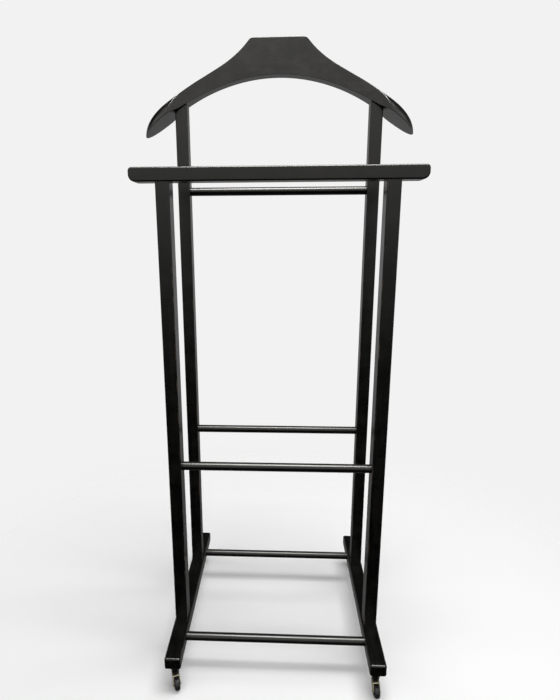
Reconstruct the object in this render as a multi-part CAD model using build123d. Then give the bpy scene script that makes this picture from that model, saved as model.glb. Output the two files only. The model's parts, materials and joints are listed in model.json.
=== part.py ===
from build123d import *
import os
from math import cos, radians, sin

# A free-standing valet stand in black lacquered beech: two skids on casters, four square
# posts, five round rails, a trouser bar across the front posts and a shaped coat hanger
# across the rear posts. Millimetres, +Z up, +Y towards the back, origin on the floor under
# the middle of the two skids.

# ---------------------------------------------------------------- driving dimensions
POST_X = 175.0                # half the distance between the left and right posts
POST_Y = 88.75                # half the distance between the front and rear posts
POST_WIDTH = 22.0             # post section along X
POST_DEPTH = {"front": 30.0, "rear": 25.0}   # post section along Y
POST_EDGE = 2.0               # rounding of the long post edges

SKID_WIDTH = 28.0
SKID_HEIGHT = 22.0
SKID_LENGTH = 380.0
SKID_EDGE = 3.5

CASTER_HEIGHT = 51.0          # floor to the underside of a skid
CASTER_INSET = 20.0           # stem axis from the end of a skid
WHEEL_RADIUS = 11.5
WHEEL_WIDTH = 9.0
WHEEL_EDGE = 2.8              # rounding of the tread into its faces
TRAIL = 9.0                   # wheel axle behind the stem axis

RAIL_RADIUS = 7.5
RAIL_TENON_RADIUS = 5.0
RAIL_TENON_LENGTH = 12.0
BASE_RAIL_Y = 125.0           # half the distance between the two base rails
LOWER_RAIL_Z = 383.0
TOP_RAIL_Z = 858.0

BAR_LENGTH = 454.0
BAR_BOTTOM = 857.0
BAR_HEIGHT = 21.6
BAR_EDGE = 3.0
BAR_TOP_CORNER = 6.0          # rounding of the bar's ends, seen from the front
BAR_BOTTOM_CORNER = 11.0

HANGER_TOP = 1113.0           # flat top of the hanger
HANGER_TOP_HALF = 49.0        # half the width of that flat
HANGER_ARCH = 1054.0          # highest point of the arched underside
HANGER_HALF = 243.0           # centre to shoulder tip
HANGER_TIP_Z = 954.0
HANGER_THICKNESS = 23.0       # board thickness in the middle
SHOULDER_WIDTH = 66.0         # widest point of a shoulder, front to back
SHOULDER_X = 201.0            # where the shoulder is widest
POST_HOUSING = 1.5            # how far a rear post's inner face is let into the hanger

FIT = 0.05                    # radial clearance of a running or sliding fit
SIDES = {"left": -1, "right": 1}
ENDS = {"front": -1, "rear": 1}

# Way that each caster trails at rest, in degrees from +X towards +Y.
TRAIL_ANGLE = {
    "front_left": -67.0,
    "front_right": -86.0,
    "rear_left": 170.0,
    "rear_right": 12.0,
}

# ---------------------------------------------------------------- worked-out levels
SKID_TOP = CASTER_HEIGHT + SKID_HEIGHT
SKID_MIDDLE = CASTER_HEIGHT + SKID_HEIGHT / 2
STEM_Y = SKID_LENGTH / 2 - CASTER_INSET
BAR_TOP = BAR_BOTTOM + BAR_HEIGHT


def arch_height(x):
    """Height of the hanger's parabolic underside at a distance x from the middle."""
    drop = HANGER_ARCH - HANGER_TIP_Z
    return HANGER_ARCH - drop * (x / HANGER_HALF) ** 2


REAR_POST_TOP = arch_height(POST_X - POST_WIDTH / 2) + POST_HOUSING


def upright(radius, bottom, height):
    """A vertical cylinder that stands on the level bottom, on the Z axis."""
    return Pos(0, 0, bottom) * Cylinder(radius, height, align=(Align.CENTER, Align.CENTER, Align.MIN))


def crosswise(radius, length):
    """A cylinder along X, centred on the origin."""
    return Rot(0, 90, 0) * Cylinder(radius, length)


# ---------------------------------------------------------------- rails
def rail(clear_span):
    """A round rail along X with a turned tenon on each end."""
    body = crosswise(RAIL_RADIUS, clear_span)
    tenon = crosswise(RAIL_TENON_RADIUS, clear_span + 2 * RAIL_TENON_LENGTH)
    return chamfer_tenons(body + tenon, clear_span)


def chamfer_tenons(blank, clear_span):
    """Break the sharp rim at both ends of a rail's tenons."""
    end = clear_span / 2 + RAIL_TENON_LENGTH
    rims = blank.edges().filter_by(lambda edge: abs(abs(edge.center().X) - end) < 0.01)
    return chamfer(rims, 0.8)


def tenon_hole():
    """The blind hole, along X on both sides of the origin, that a rail's tenon fills."""
    return crosswise(RAIL_TENON_RADIUS + FIT, 2 * RAIL_TENON_LENGTH + 1)


POST_SPAN = 2 * POST_X - POST_WIDTH
SKID_SPAN = 2 * POST_X - SKID_WIDTH
RAILS = {
    "rear_top_rail": Pos(0, POST_Y, TOP_RAIL_Z) * rail(POST_SPAN),
    "rear_lower_rail": Pos(0, POST_Y, LOWER_RAIL_Z) * rail(POST_SPAN),
    "front_lower_rail": Pos(0, -POST_Y, LOWER_RAIL_Z) * rail(POST_SPAN),
    "front_base_rail": Pos(0, -BASE_RAIL_Y, SKID_MIDDLE) * rail(SKID_SPAN),
    "rear_base_rail": Pos(0, BASE_RAIL_Y, SKID_MIDDLE) * rail(SKID_SPAN),
}


# ---------------------------------------------------------------- fasteners
SCREW_LENGTH = 64.0
SCREW_RADIUS = 3.2
SCREW_HEAD_RADIUS = 5.5
SCREW_HEAD_HEIGHT = 4.0
SCREW_RECESS = 8.0            # underside of the skid to the underside of the screw head
SCREW_SOCKET_RADIUS = 2.0

DOWEL_RADIUS = 4.0
DOWEL_RISE = 10.0             # above the joint, in the piece that rests on the post
DOWEL_DROP = 22.0             # below the joint, in the post


def screw_room(grow):
    """Shank and head of a post screw, larger by grow all round, at the Z axis."""
    head_bottom = CASTER_HEIGHT + SCREW_RECESS
    head = upright(SCREW_HEAD_RADIUS + grow, head_bottom, SCREW_HEAD_HEIGHT)
    shank = upright(SCREW_RADIUS + grow, head_bottom, SCREW_LENGTH + grow)
    return head + shank


def post_screw():
    """A flat-headed connecting screw with a hexagon socket, driven up through a skid."""
    head_bottom = CASTER_HEIGHT + SCREW_RECESS
    socket_profile = Pos(0, 0, head_bottom) * RegularPolygon(SCREW_SOCKET_RADIUS, 6)
    return screw_room(0) - extrude(socket_profile, 2.5)


def screw_hole():
    """The stepped hole for a post screw, open at the underside of the skid."""
    access = upright(SCREW_HEAD_RADIUS + FIT, CASTER_HEIGHT - 1, SCREW_RECESS + 2)
    return screw_room(FIT) + access


def dowel(level):
    """A wooden dowel that stands across the joint at the given level."""
    pin = upright(DOWEL_RADIUS, level - DOWEL_DROP, DOWEL_DROP + DOWEL_RISE)
    return chamfer(pin.edges().filter_by(GeomType.CIRCLE), 1.0)


def dowel_hole(level):
    """The hole for a dowel, in both pieces that meet at the given level."""
    spare = 0.5
    return upright(DOWEL_RADIUS + FIT, level - DOWEL_DROP - spare, DOWEL_DROP + DOWEL_RISE + 2 * spare)


# ---------------------------------------------------------------- posts
def post(side, end):
    """One square post with its rail holes, screw hole and top dowel hole, in place."""
    top = REAR_POST_TOP if end == "rear" else BAR_BOTTOM
    blank = Pos(0, 0, (SKID_TOP + top) / 2) * Box(POST_WIDTH, POST_DEPTH[end], top - SKID_TOP)
    blank = fillet(blank.edges().filter_by(Axis.Z), POST_EDGE)
    inner = -SIDES[side] * POST_WIDTH / 2
    rail_levels = [LOWER_RAIL_Z, TOP_RAIL_Z] if end == "rear" else [LOWER_RAIL_Z]
    for level in rail_levels:
        blank -= Pos(inner, 0, level) * tenon_hole()
    blank -= screw_hole()
    blank -= dowel_hole(top)
    return Pos(SIDES[side] * POST_X, ENDS[end] * POST_Y, 0) * blank


# ---------------------------------------------------------------- skids
SLEEVE_RADIUS = 4.2
SLEEVE_TOP = SKID_TOP - 4.0
SLEEVE_HOLE = SLEEVE_RADIUS + FIT


def skid(side):
    """One skid: a rectangular bar with rounded edges, drilled for its rails, screws and casters."""
    blank = Pos(0, 0, SKID_MIDDLE) * Box(SKID_WIDTH, SKID_LENGTH, SKID_HEIGHT)
    blank = fillet(blank.edges(), SKID_EDGE)
    inner = -SIDES[side] * SKID_WIDTH / 2
    sleeve_hole = upright(SLEEVE_HOLE, CASTER_HEIGHT - 1, SLEEVE_TOP - CASTER_HEIGHT + 1)
    for way in ENDS.values():
        blank -= Pos(inner, way * BASE_RAIL_Y, SKID_MIDDLE) * tenon_hole()
        blank -= Pos(0, way * POST_Y, 0) * screw_hole()
        blank -= Pos(0, way * STEM_Y, 0) * sleeve_hole
    return Pos(SIDES[side] * POST_X, 0, 0) * blank


# ---------------------------------------------------------------- trouser bar
def trouser_bar():
    """The bar across the front posts, flush with their front faces, with rounded ends."""
    depth = POST_DEPTH["front"]
    front = Plane.XZ.offset(depth / 2)
    outline = front * Pos(0, (BAR_BOTTOM + BAR_TOP) / 2) * Rectangle(BAR_LENGTH, BAR_HEIGHT)
    blank = extrude(outline, -depth)
    ends = blank.edges().filter_by(Axis.Y)
    blank = fillet(ends.filter_by(lambda edge: edge.center().Z > BAR_TOP - 1), BAR_TOP_CORNER)
    ends = blank.edges().filter_by(Axis.Y)
    corners = ends.filter_by(lambda edge: edge.center().Z < BAR_BOTTOM + 1)
    blank = fillet(corners, BAR_BOTTOM_CORNER)
    rims = blank.faces().filter_by(Axis.Y).edges()
    blank = fillet(rims, BAR_EDGE)
    for way in SIDES.values():
        blank -= Pos(way * POST_X, 0, 0) * dowel_hole(BAR_BOTTOM)
    return Pos(0, -POST_Y, 0) * blank


# ---------------------------------------------------------------- hanger
NECK_SLOPE = 1.3              # fall per unit of width just beside the top flat
ARM_SLOPE = 0.556             # fall per unit of width along the straight of the arm
ARM_START_X = 105.0
ARM_START_Z = 1067.0
ARM_END_X = 177.0
PLAN_SLIM_X = 105.0           # the board keeps its middle thickness out to here
PLAN_NECK_X = 171.0           # from here it swells fast into the shoulder


def half_outline(way):
    """Edges of one half of the hanger seen from the front, from the top flat to the tip.

    The shoulder line falls steeply from the top flat in a hollow curve, runs straight
    along the arm and then rounds over to a vertical tip.
    """
    neck_gap = ARM_START_Z + ARM_SLOPE * ARM_START_X - HANGER_TOP - NECK_SLOPE * HANGER_TOP_HALF
    neck_x = neck_gap / (ARM_SLOPE - NECK_SLOPE)
    neck_z = HANGER_TOP - NECK_SLOPE * (neck_x - HANGER_TOP_HALF)
    arm_end_z = ARM_START_Z - ARM_SLOPE * (ARM_END_X - ARM_START_X)
    shoulder_z = arm_end_z - ARM_SLOPE * (HANGER_HALF - ARM_END_X)
    neck = Bezier(
        (way * HANGER_TOP_HALF, HANGER_TOP),
        (way * neck_x, neck_z),
        (way * ARM_START_X, ARM_START_Z),
    )
    arm = Line((way * ARM_START_X, ARM_START_Z), (way * ARM_END_X, arm_end_z))
    shoulder = Bezier(
        (way * ARM_END_X, arm_end_z),
        (way * HANGER_HALF, shoulder_z),
        (way * HANGER_HALF, HANGER_TIP_Z),
    )
    return [neck, arm, shoulder]


def hanger_front():
    """Front outline of the hanger as a face in the X-Z plane through the origin."""
    top = Line((-HANGER_TOP_HALF, HANGER_TOP), (HANGER_TOP_HALF, HANGER_TOP))
    arch = Bezier(
        (-HANGER_HALF, HANGER_TIP_Z),
        (0, 2 * HANGER_ARCH - HANGER_TIP_Z),
        (HANGER_HALF, HANGER_TIP_Z),
    )
    outline = make_face([top, arch] + half_outline(-1) + half_outline(1))
    return Plane.XZ * outline


def hanger_plan():
    """Outline of the hanger seen from above: a board that swells into two leaf-like shoulders."""
    slim = HANGER_THICKNESS / 2
    wide = SHOULDER_WIDTH / 2
    neck = 1.55 * slim        # half thickness where the board meets the rear posts
    edges = []
    for face in SIDES.values():
        edges.append(Line((-PLAN_SLIM_X, face * slim), (PLAN_SLIM_X, face * slim)))
        for way in SIDES.values():
            edges.append(Bezier(
                (way * PLAN_SLIM_X, face * slim),
                (way * (PLAN_SLIM_X + 30), face * slim),
                (way * (PLAN_NECK_X - 20), face * 0.94 * neck),
                (way * PLAN_NECK_X, face * neck),
            ))
            edges.append(Bezier(
                (way * PLAN_NECK_X, face * neck),
                (way * (PLAN_NECK_X + 12), face * 1.04 * neck),
                (way * (SHOULDER_X - 14), face * wide),
                (way * SHOULDER_X, face * wide),
            ))
            edges.append(Bezier(
                (way * SHOULDER_X, face * wide),
                (way * (SHOULDER_X + 24), face * wide),
                (way * HANGER_HALF, face * 0.55 * wide),
                (way * HANGER_HALF, 0),
            ))
    return make_face(edges)


def hanger():
    """The coat hanger board with its arched underside and widened shoulders."""
    board = extrude(hanger_front(), SHOULDER_WIDTH / 2 + 1, both=True)
    leaf = Pos(0, 0, HANGER_TIP_Z - 10) * extrude(hanger_plan(), HANGER_TOP - HANGER_TIP_Z + 20)
    blank = board & leaf
    for way in SIDES.values():
        housing = Pos(way * POST_X, 0, REAR_POST_TOP - 60) * Box(
            POST_WIDTH, POST_DEPTH["rear"], 60, align=(Align.CENTER, Align.CENTER, Align.MIN))
        blank -= fillet(housing.edges().filter_by(Axis.Z), POST_EDGE)
        blank -= Pos(way * POST_X, 0, 0) * dowel_hole(REAR_POST_TOP)
    return Pos(0, POST_Y, 0) * blank


# ---------------------------------------------------------------- casters
HOOD_TOP_RADIUS = 10.5
HOOD_BOTTOM_RADIUS = 6.0
HOOD_BOTTOM = 26.5
STEM_RADIUS = 3.2
STEM_TOP = SLEEVE_TOP - 1.5
SLEEVE_BOTTOM = HOOD_BOTTOM + 0.4

FORK_SHEET = 1.2
FORK_GAP = WHEEL_WIDTH + 1.0  # inside width between the two arms
FORK_PLATE_TOP = HOOD_BOTTOM - 0.4
FORK_PLATE_RADIUS = 7.0
FORK_ARM_END = 4.2            # radius of the rounded arm end round the axle
AXLE_RADIUS = 1.6
AXLE_HEAD_RADIUS = 2.6
AXLE_HEAD = 1.1
HUB_RADIUS = 4.5


def caster_hood():
    """The turned, tapered wooden foot between the skid and the swivel."""
    height = CASTER_HEIGHT - HOOD_BOTTOM
    taper = Pos(0, 0, HOOD_BOTTOM) * Cone(
        HOOD_BOTTOM_RADIUS, HOOD_TOP_RADIUS, height, align=(Align.CENTER, Align.CENTER, Align.MIN))
    rim = taper.edges().filter_by(GeomType.CIRCLE).sort_by(Axis.Z)[0]
    taper = fillet(rim, 1.0)
    return taper - upright(SLEEVE_HOLE, HOOD_BOTTOM - 1, height + 2)


def caster_sleeve():
    """The steel sleeve that the caster's stem turns in, closed at its top."""
    tube = upright(SLEEVE_RADIUS, SLEEVE_BOTTOM, SLEEVE_TOP - SLEEVE_BOTTOM)
    return tube - upright(STEM_RADIUS + FIT, SLEEVE_BOTTOM - 1, STEM_TOP + 0.5 - SLEEVE_BOTTOM + 1)


def caster_stem():
    """The stem: a round pin with a domed tip, riveted into the fork's top plate."""
    bottom = FORK_PLATE_TOP - FORK_SHEET
    pin = upright(STEM_RADIUS, bottom, STEM_TOP - bottom)
    return fillet(pin.edges().filter_by(GeomType.CIRCLE).sort_by(Axis.Z)[-1], 2.0)


def fork_arm_outline():
    """Side outline of an arm: from the plate down to a round end about the axle."""
    plate_z = FORK_PLATE_TOP
    face = make_hull([
        *(Pos(TRAIL, WHEEL_RADIUS) * Circle(FORK_ARM_END)).edges(),
        Line((-FORK_PLATE_RADIUS + 2, plate_z), (FORK_PLATE_RADIUS, plate_z)),
        Line((-FORK_PLATE_RADIUS + 2, plate_z - 4), (FORK_PLATE_RADIUS, plate_z - 4)),
    ])
    return Plane.XZ * face


def caster_fork():
    """The folded sheet fork, trailing towards +X: a top plate and two slanted arms."""
    outer = FORK_GAP + 2 * FORK_SHEET
    block = extrude(fork_arm_outline(), outer / 2, both=True)
    top_space = FORK_PLATE_TOP - FORK_SHEET
    room = Pos(TRAIL / 2, 0, top_space - 30) * Box(
        60, FORK_GAP, 30, align=(Align.CENTER, Align.CENTER, Align.MIN))
    folded = block - room
    axle_hole = Pos(TRAIL, 0, WHEEL_RADIUS) * (Rot(90, 0, 0) * Cylinder(AXLE_RADIUS, outer + 4))
    return folded - axle_hole - upright(STEM_RADIUS, top_space - 1, FORK_SHEET + 2)


def caster_axle():
    """The axle rivet through both arms, with a domed head on each side."""
    outer = FORK_GAP + 2 * FORK_SHEET
    pin = Cylinder(AXLE_RADIUS, outer + 2 * AXLE_HEAD)
    for way in (-1, 1):
        head = Pos(0, 0, way * (outer + AXLE_HEAD) / 2) * Cylinder(AXLE_HEAD_RADIUS, AXLE_HEAD)
        rim = head.edges().filter_by(GeomType.CIRCLE).sort_by(Axis.Z)[-1 if way > 0 else 0]
        pin += fillet(rim, 0.8)
    return Pos(TRAIL, 0, WHEEL_RADIUS) * (Rot(90, 0, 0) * pin)


def caster_wheel():
    """The wheel: a well-rounded tread, shallow dished faces and a raised hub."""
    tread = Cylinder(WHEEL_RADIUS, WHEEL_WIDTH)
    tread = fillet(tread.edges().filter_by(GeomType.CIRCLE), WHEEL_EDGE)
    for way in (-1, 1):
        ring = Cylinder(WHEEL_RADIUS - 3.5, 3) - Cylinder(HUB_RADIUS, 4)
        tread -= Pos(0, 0, way * WHEEL_WIDTH / 2) * ring
    tread -= Cylinder(AXLE_RADIUS + FIT, WHEEL_WIDTH + 2)
    return Pos(TRAIL, 0, WHEEL_RADIUS) * (Rot(90, 0, 0) * tread)


def caster_nodes(end, side):
    """All pieces of one caster, placed under its skid and turned to its rest direction."""
    corner = f"{end}_{side}"
    place = Pos(SIDES[side] * POST_X, ENDS[end] * STEM_Y, 0)
    turned = place * Rot(0, 0, TRAIL_ANGLE[corner])
    return {
        f"caster_hood_{corner}": place * caster_hood(),
        f"caster_sleeve_{corner}": place * caster_sleeve(),
        f"caster_stem_{corner}": turned * caster_stem(),
        f"caster_fork_{corner}": turned * caster_fork(),
        f"caster_axle_{corner}": turned * caster_axle(),
        f"caster_wheel_{corner}": turned * caster_wheel(),
    }


# ---------------------------------------------------------------- the whole stand
def at_corners(piece, ends):
    """Copies of a piece at the left and right posts of the named ends, as separate solids."""
    return Compound(children=[
        Pos(way * POST_X, ENDS[end] * POST_Y, 0) * piece for end in ends for way in SIDES.values()
    ])


def all_nodes():
    """Every node of the stand by name."""
    nodes = dict(RAILS)
    for side in SIDES:
        nodes[f"skid_{side}"] = skid(side)
        for end in ENDS:
            nodes[f"{end}_post_{side}"] = post(side, end)
            nodes.update(caster_nodes(end, side))
    nodes["trouser_bar"] = trouser_bar()
    nodes["hanger"] = hanger()
    nodes["bar_dowels"] = at_corners(dowel(BAR_BOTTOM), ["front"])
    nodes["hanger_dowels"] = at_corners(dowel(REAR_POST_TOP), ["rear"])
    nodes["post_screws"] = at_corners(post_screw(), ["front", "rear"])
    return nodes


os.makedirs("parts", exist_ok=True)
for name, shape in all_nodes().items():
    export_step(shape, f"parts/{name}.step")
for corner, angle in TRAIL_ANGLE.items():
    print(corner, "trails towards", round(cos(radians(angle)), 4), round(sin(radians(angle)), 4))
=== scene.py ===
"""A valet stand in black lacquered beech on four small casters.

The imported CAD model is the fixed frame. Its posts, skids, rails, dowels, screws, stems and
sleeves keep their own meshes and get their finishes here. The carved hanger, the trouser bar
and the casters' visible pieces are modelled here, in metres, where their CAD nodes stand.
"""

import json
import logging
import math
from abc import ABC, abstractmethod
from collections.abc import Callable, Iterator, Mapping, Sequence
from dataclasses import dataclass
from enum import Enum

import bmesh
import bpy
from mathutils import Matrix, Vector


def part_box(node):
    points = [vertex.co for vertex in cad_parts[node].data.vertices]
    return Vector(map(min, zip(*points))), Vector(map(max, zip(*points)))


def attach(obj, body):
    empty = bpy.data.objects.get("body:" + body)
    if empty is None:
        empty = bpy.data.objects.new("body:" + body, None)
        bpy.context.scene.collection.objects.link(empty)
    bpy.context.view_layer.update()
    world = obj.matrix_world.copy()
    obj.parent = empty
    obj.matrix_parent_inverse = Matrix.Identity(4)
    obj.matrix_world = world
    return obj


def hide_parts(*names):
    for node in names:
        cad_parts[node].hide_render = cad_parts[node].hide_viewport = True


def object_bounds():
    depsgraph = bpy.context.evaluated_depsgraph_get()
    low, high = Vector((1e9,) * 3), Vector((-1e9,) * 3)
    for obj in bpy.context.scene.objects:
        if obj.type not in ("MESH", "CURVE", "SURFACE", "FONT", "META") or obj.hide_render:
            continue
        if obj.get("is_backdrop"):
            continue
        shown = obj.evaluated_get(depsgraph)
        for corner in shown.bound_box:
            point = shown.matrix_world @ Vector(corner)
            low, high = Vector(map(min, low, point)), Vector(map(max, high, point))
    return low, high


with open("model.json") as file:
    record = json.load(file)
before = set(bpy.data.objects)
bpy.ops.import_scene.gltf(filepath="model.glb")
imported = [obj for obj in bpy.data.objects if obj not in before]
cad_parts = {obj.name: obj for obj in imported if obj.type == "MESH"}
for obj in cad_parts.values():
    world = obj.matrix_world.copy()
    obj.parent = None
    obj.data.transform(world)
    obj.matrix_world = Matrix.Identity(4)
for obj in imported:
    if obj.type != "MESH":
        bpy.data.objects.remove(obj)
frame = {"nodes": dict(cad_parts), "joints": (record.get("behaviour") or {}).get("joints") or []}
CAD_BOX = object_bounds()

LOG = logging.getLogger("valet_stand")
MM = 0.001
NEAR = 1e-5                   # two points closer than this are the same point, in metres
MERGE = 4 * NEAR              # the distance within which a new mesh's points are merged
FLAT = math.radians(2.0)      # faces that meet at less than this angle count as one face
Colour = tuple[float, float, float]
Test = Callable[[Vector, Vector], bool]


class Axis(Enum):
    """An axis of the stand: X to the right, Y towards the back, Z up."""

    X = 0
    Y = 1
    Z = 2

    def stretched(self, across: float, along: float) -> Vector:
        """Grains per metre of a pattern that has its own number along this axis."""
        return Vector([along if axis is self else across for axis in Axis])


class Part(Enum):
    """The part of a mesh that is picked in edit mode."""

    POINT = "VERT"
    EDGE = "EDGE"
    FACE = "FACE"


# ------------------------------------------------------------------------------ the bench


class Workpiece:
    """A mesh on the bench, open in edit mode and shaped with Blender's own operators."""

    def __init__(self, name: str, obj: bpy.types.Object) -> None:
        """Takes a fresh object, alone in the selection, and opens its mesh.

        Args:
            name: The piece's name.
            obj: The object whose mesh is shaped.
        """
        self.obj = obj
        obj.name = name
        obj.data.name = name
        bpy.ops.object.mode_set(mode="EDIT")

    @staticmethod
    def clear_bench() -> None:
        """Leaves edit mode and deselects every object."""
        if bpy.context.object is not None and bpy.context.object.mode != "OBJECT":
            bpy.ops.object.mode_set(mode="OBJECT")
        bpy.ops.object.select_all(action="DESELECT")

    @classmethod
    def block(cls, name: str, low: Vector, high: Vector) -> "Workpiece":
        """A rectangular blank between two corners.

        Args:
            name: The piece's name.
            low: The lowest corner.
            high: The highest corner.

        Returns:
            The open workpiece.
        """
        cls.clear_bench()
        bpy.ops.mesh.primitive_cube_add(size=1.0, location=(low + high) / 2)
        bpy.context.object.scale = high - low
        bpy.ops.object.transform_apply(location=True, rotation=True, scale=True)
        return cls(name, bpy.context.object)

    @classmethod
    def sheet(cls, name: str, columns: int, rows: int) -> "Workpiece":
        """A flat grid of points, column after column, ready to be laid over a form.

        Args:
            name: The piece's name.
            columns: Number of points along X.
            rows: Number of points along Y.

        Returns:
            The open workpiece.
        """
        cls.clear_bench()
        bpy.ops.mesh.primitive_grid_add(x_subdivisions=columns - 1, y_subdivisions=rows - 1, size=1.0)
        return cls(name, bpy.context.object)

    @classmethod
    def turned(cls, name: str, profile: Sequence[tuple[float, float]], sides: int) -> "Workpiece":
        """A piece turned on a lathe about the Z axis, from its lowest ring upwards.

        Args:
            name: The piece's name.
            profile: Radius and height of each ring. A radius of zero closes the end.
            sides: Number of points in a ring.

        Returns:
            The open workpiece.
        """
        cls.clear_bench()
        rings = [(max(radius, NEAR), height) for radius, height in profile]
        radius, height = rings[0]
        bpy.ops.mesh.primitive_circle_add(vertices=sides, radius=radius, location=(0, 0, height))
        bpy.ops.object.transform_apply(location=True, rotation=True, scale=True)
        piece = cls(name, bpy.context.object)
        for next_radius, next_height in rings[1:]:
            piece.extrude(Vector((0, 0, next_height - height)))
            ratio = next_radius / radius
            piece.scale((ratio, ratio, 1.0), Vector((0, 0, next_height)))
            radius, height = next_radius, next_height
        piece.merge(MERGE)
        return piece

    @classmethod
    def copy_of_node(cls, name: str, node: str, to_local: Matrix) -> "Workpiece":
        """A merged copy of a CAD node, brought to the bench. The node itself isn't touched.

        Args:
            name: The piece's name.
            node: The CAD node to copy.
            to_local: The transform that takes the node's place to the bench.

        Returns:
            The open workpiece.
        """
        cls.clear_bench()
        mesh = frame["nodes"][node].data.copy()
        mesh.transform(to_local)
        mesh.materials.clear()
        obj = bpy.data.objects.new(name, mesh)
        bpy.context.scene.collection.objects.link(obj)
        bpy.context.view_layer.objects.active = obj
        obj.select_set(True)
        piece = cls(name, obj)
        if mesh.has_custom_normals:
            bpy.ops.mesh.customdata_custom_splitnormals_clear()
        piece.pick_all()
        piece.merge(NEAR)
        bpy.ops.mesh.dissolve_limited(angle_limit=FLAT)
        return piece

    def pick_all(self) -> None:
        """Selects the whole mesh."""
        bpy.ops.mesh.select_all(action="SELECT")

    def pick(self, part: Part, test: Test) -> int:
        """Selects the points, edges or faces that pass a test, and nothing else.

        Args:
            part: What is picked.
            test: Takes the middle and the normal (an edge's direction) of one of them.

        Returns:
            How many were picked.
        """
        bpy.ops.mesh.select_all(action="DESELECT")
        bpy.ops.mesh.select_mode(type=part.value)
        mesh = bmesh.from_edit_mesh(self.obj.data)
        found = 0
        for item, middle, normal in self._parts(mesh, part):
            if test(middle, normal):
                item.select_set(True)
                found += 1
        bmesh.update_edit_mesh(self.obj.data, loop_triangles=False, destructive=False)
        return found

    @staticmethod
    def _parts(mesh: bmesh.types.BMesh, part: Part) -> Iterator[tuple[object, Vector, Vector]]:
        """Every point, edge or face with its middle and its normal.

        Args:
            mesh: The open mesh.
            part: What is looked at.

        Returns:
            Each one, its middle, and its normal or an edge's direction.
        """
        if part is Part.POINT:
            for point in mesh.verts:
                yield point, point.co, point.normal
        elif part is Part.EDGE:
            for edge in mesh.edges:
                a, b = (v.co for v in edge.verts)
                yield edge, (a + b) / 2, (b - a).normalized()
        else:
            mesh.normal_update()
            for face in mesh.faces:
                yield face, face.calc_center_median(), face.normal

    def pick_point(self, index: int) -> Vector:
        """Selects one point by its number in the grid.

        Args:
            index: The point's number.

        Returns:
            Where the point is.
        """
        bpy.ops.mesh.select_all(action="DESELECT")
        mesh = bmesh.from_edit_mesh(self.obj.data)
        mesh.verts.ensure_lookup_table()
        mesh.verts[index].select_set(True)
        return mesh.verts[index].co.copy()

    def move(self, shift: Vector) -> None:
        """Moves what is picked."""
        bpy.ops.transform.translate(value=shift)

    def scale(self, factors: Sequence[float], centre: Vector) -> None:
        """Scales what is picked about a point."""
        bpy.ops.transform.resize(value=factors, center_override=centre)

    def extrude(self, shift: Vector) -> None:
        """Draws the picked edges or faces out along a vector, and leaves the new end picked."""
        bpy.ops.mesh.extrude_region_move(TRANSFORM_OT_translate={"value": shift})

    def bevel(self, width: float, segments: int) -> None:
        """Rounds the picked edges."""
        bpy.ops.mesh.bevel(offset=width, offset_type="OFFSET", segments=segments, profile=0.5,
                           affect="EDGES", clamp_overlap=True, loop_slide=True)

    def merge(self, distance: float) -> None:
        """Merges all points of the mesh that lie closer than a distance."""
        self.pick_all()
        bpy.ops.mesh.remove_doubles(threshold=distance)

    def modify(self, kind: str, **settings: object) -> None:
        """Adds a modifier to the object and applies it at once.

        Args:
            kind: The modifier's type.
            settings: The values that the modifier is given.
        """
        bpy.ops.object.mode_set(mode="OBJECT")
        modifier = self.obj.modifiers.new(kind.title(), kind)
        for key, value in settings.items():
            setattr(modifier, key, value)
        bpy.ops.object.modifier_apply(modifier=modifier.name)
        bpy.ops.object.mode_set(mode="EDIT")

    def finish(self, smooth_angle: float = 35.0, flat_faces: bool = False) -> bpy.types.Object:
        """Turns every face outwards, smooths the shading and takes the piece off the bench.

        Args:
            smooth_angle: Edges sharper than this many degrees stay crisp.
            flat_faces: Whether the shading of large faces stays flat next to rounded edges.

        Returns:
            The finished object, at the origin, with its place in its mesh.
        """
        self.pick_all()
        bpy.ops.mesh.normals_make_consistent(inside=False)
        bpy.ops.object.mode_set(mode="OBJECT")
        bpy.ops.object.transform_apply(location=True, rotation=True, scale=True)
        bpy.ops.object.shade_smooth_by_angle(angle=math.radians(smooth_angle))
        if flat_faces:
            weighted = self.obj.modifiers.new("Flat faces", "WEIGHTED_NORMAL")
            weighted.keep_sharp = True
            bpy.ops.object.modifier_apply(modifier=weighted.name)
        self.clear_bench()
        return self.obj


def placed_copy(model: bpy.types.Object, name: str, place: Matrix) -> bpy.types.Object:
    """A copy of a finished piece with a mesh of its own, set in its place.

    Args:
        model: The piece that was modelled once.
        name: The copy's name.
        place: Where the copy goes.

    Returns:
        The copy, at the origin, with its place in its mesh.
    """
    copy = model.copy()
    copy.data = model.data.copy()
    copy.name = copy.data.name = name
    copy.data.transform(place)
    bpy.context.scene.collection.objects.link(copy)
    return copy


# ------------------------------------------------------------------------------ finishes


def arithmetic(operation: str, reflected: bool = False) -> Callable[["Value", "Number"], "Value"]:
    """The method behind one of the arithmetic signs of a Value.

    Args:
        operation: The Math node's operation.
        reflected: Whether the other number comes first.

    Returns:
        The method, which adds one Math node.
    """
    def method(self: "Value", other: "Number") -> "Value":
        """Adds the node."""
        first, second = (other, self) if reflected else (self, other)
        return self.graph.node("ShaderNodeMath", {"operation": operation}, {0: first, 1: second})

    return method


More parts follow.
